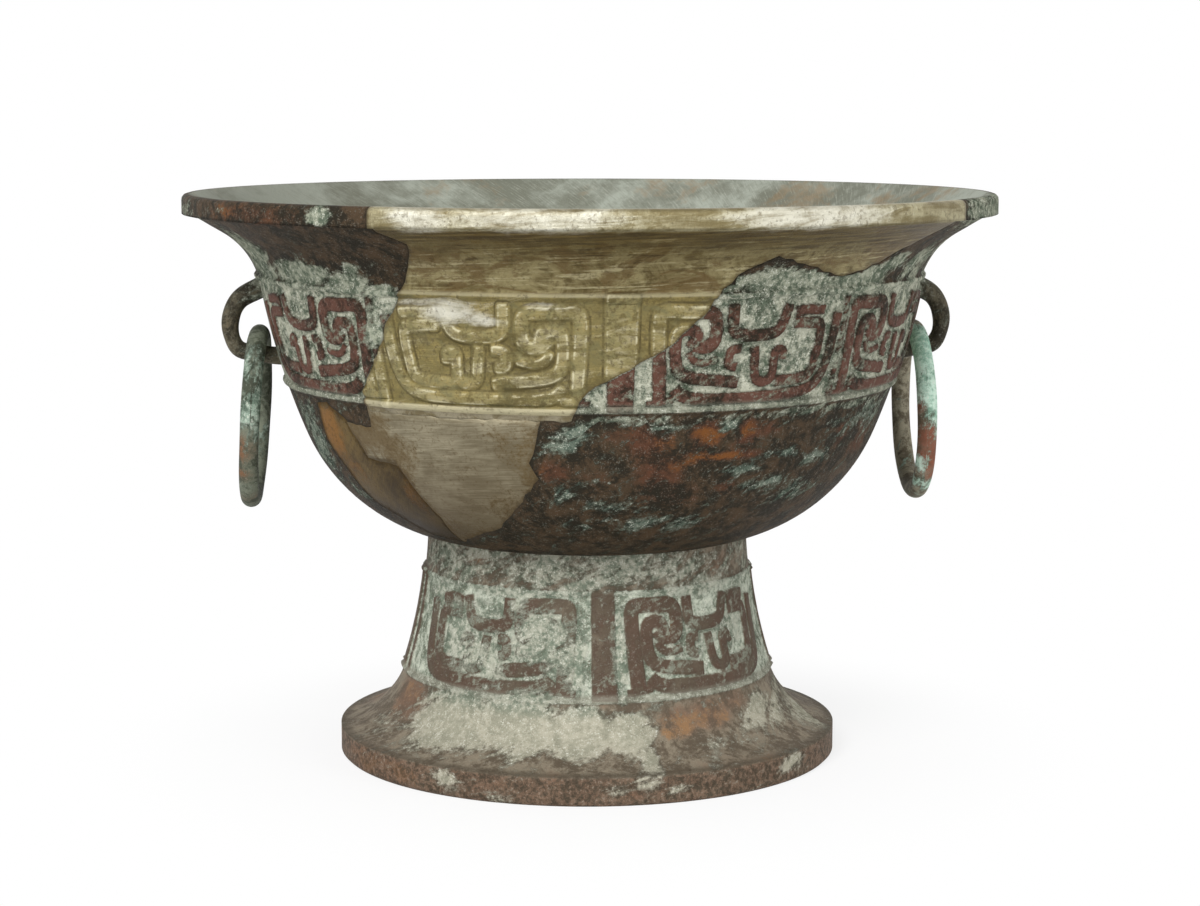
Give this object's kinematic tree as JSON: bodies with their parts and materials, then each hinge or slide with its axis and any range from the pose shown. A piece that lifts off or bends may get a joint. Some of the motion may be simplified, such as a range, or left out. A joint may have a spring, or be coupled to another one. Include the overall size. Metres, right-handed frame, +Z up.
{
  "type": "footed bronze bowl with ring handles",
  "caption": "Ritual bronze bowl on a flared hollow foot, with cast friezes, soldered restoration infills and loose rings hanging in loop lugs.",
  "frame": {"origin": "centre of the footprint, on the plane the foot stands on", "axes": "+Z up the vessel, lugs on the X axis, front divider bar of the frieze towards -Y"},
  "size_m": [0.24, 0.24, 0.1675],
  "materials": {
    "old_bronze": "aged bronze, red-brown with grey-green crust",
    "infill_metal": "brushed pale brass-coloured restoration metal",
    "infill_filler": "brown-gold toned filler metal"
  },
  "bodies": {
    "vessel": {"bowl": "old_bronze", "rim_infill": "infill_metal", "lower_infill_plate": "infill_metal", "lower_infill_strip": "infill_filler", "foot": "old_bronze", "left_lug": "old_bronze", "right_lug": "old_bronze"},
    "left_ring": {"left_ring": "old_bronze"},
    "right_ring": {"right_ring": "old_bronze"}
  },
  "joints": [
    {"name": "left_ring_swing", "type": "hinge", "parent": "vessel", "child": "left_ring", "pos_m": [-0.09809, 0, 0.12596], "axis": [0.0436, 0.999, 0], "range_deg": [-22, 137]},
    {"name": "right_ring_swing", "type": "hinge", "parent": "vessel", "child": "right_ring", "pos_m": [0.09809, 0, 0.12596], "axis": [-0.0436, -0.999, 0], "range_deg": [-20, 140]}
  ]
}
